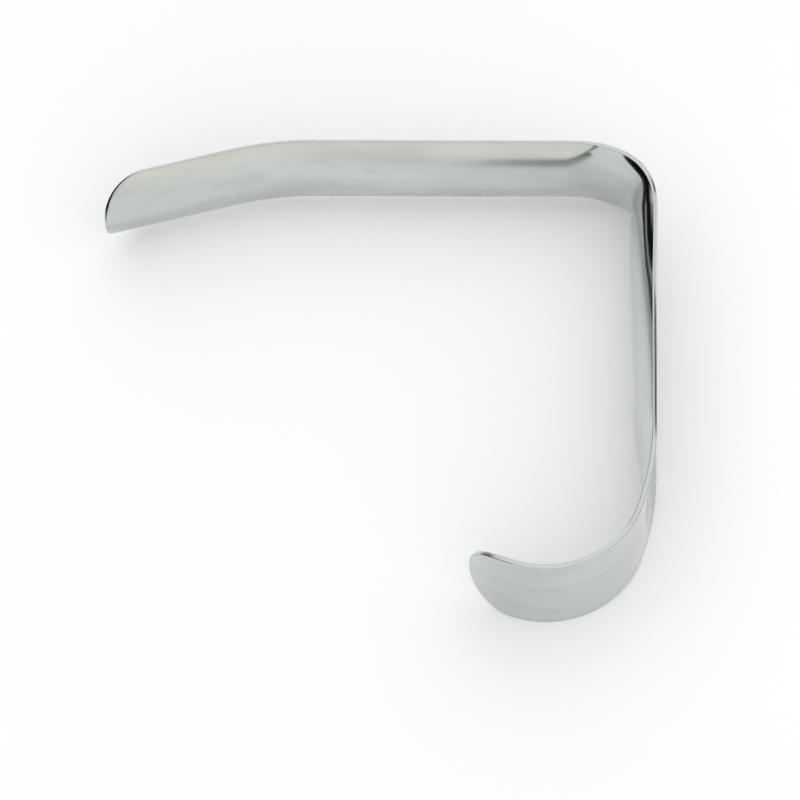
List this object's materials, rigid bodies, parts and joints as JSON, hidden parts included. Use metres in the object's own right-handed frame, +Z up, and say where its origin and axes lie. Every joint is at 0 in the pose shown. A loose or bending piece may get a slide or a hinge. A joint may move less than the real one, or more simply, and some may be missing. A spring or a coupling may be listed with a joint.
{
  "type": "handheld surgical retractor",
  "caption": "Right-angle hand retractor bent from a steel strip: a long troughed blade with a rounded end, a flattened heel, a short troughed handle and a flat curled hook.",
  "frame": {"origin": "middle of the footprint on the surface the retractor lies on", "axes": "+X along the blade, from its rounded end to the heel; +Y from the hook's side to the blade's side; +Z up, across the strip's width"},
  "size_m": [0.1236, 0.109, 0.0254],
  "materials": {
    "stainless_steel": "satin polished"
  },
  "bodies": {
    "root": {"retractor": "stainless_steel"}
  },
  "joints": []
}
